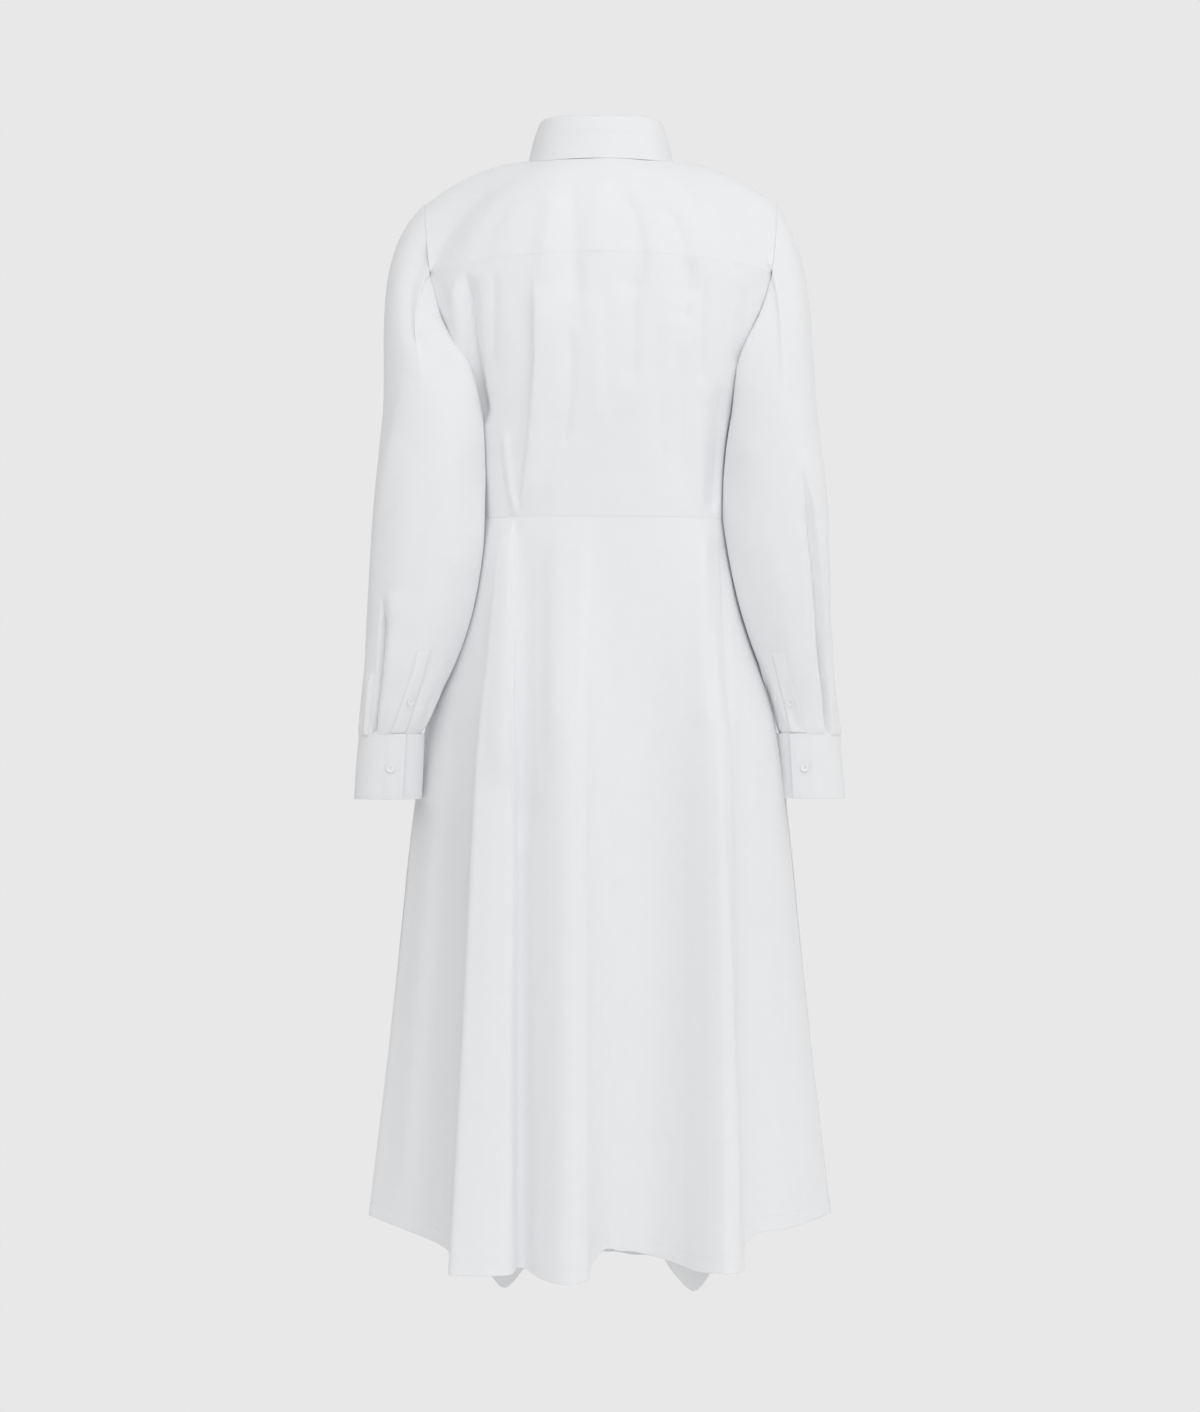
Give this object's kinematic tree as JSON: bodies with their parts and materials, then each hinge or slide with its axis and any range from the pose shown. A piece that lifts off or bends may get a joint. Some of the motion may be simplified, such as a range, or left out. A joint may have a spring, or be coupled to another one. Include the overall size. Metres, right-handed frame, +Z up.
{
  "type": "shirt dress",
  "caption": "White cotton midi shirt dress with turn-down collar, back yoke, long cuffed sleeves, waist seam and a full folded skirt, open at neck, cuffs and hem.",
  "frame": {"origin": "middle of the neck opening at the height of the nape seam", "axes": "+Z up to the collar, -Y out of the wearer's front, +X to the wearer's left"},
  "size_m": [0.5387, 0.3921, 1.3139],
  "materials": {
    "white_poplin": "matt plain weave",
    "white_plastic": "semi-gloss"
  },
  "bodies": {
    "root": {"back_bodice": "white_poplin", "back_yoke": "white_poplin", "collar_fall": "white_poplin", "collar_stand": "white_poplin", "cuff_left": "white_poplin", "cuff_right": "white_poplin", "front_bodice_left": "white_poplin", "front_bodice_right": "white_poplin", "front_placket": "white_poplin", "skirt_back": "white_poplin", "skirt_front_left": "white_poplin", "skirt_front_right": "white_poplin", "sleeve_left": "white_poplin", "sleeve_placket_left": "white_poplin", "sleeve_placket_right": "white_poplin", "sleeve_right": "white_poplin", "collar_button": "white_plastic", "cuff_button_left": "white_plastic", "cuff_button_right": "white_plastic", "front_button_1": "white_plastic", "front_button_2": "white_plastic", "front_button_3": "white_plastic", "front_button_4": "white_plastic", "front_button_5": "white_plastic", "front_button_6": "white_plastic", "front_button_7": "white_plastic", "front_button_8": "white_plastic", "front_button_9": "white_plastic", "sleeve_button_left": "white_plastic", "sleeve_button_right": "white_plastic"}
  },
  "joints": []
}
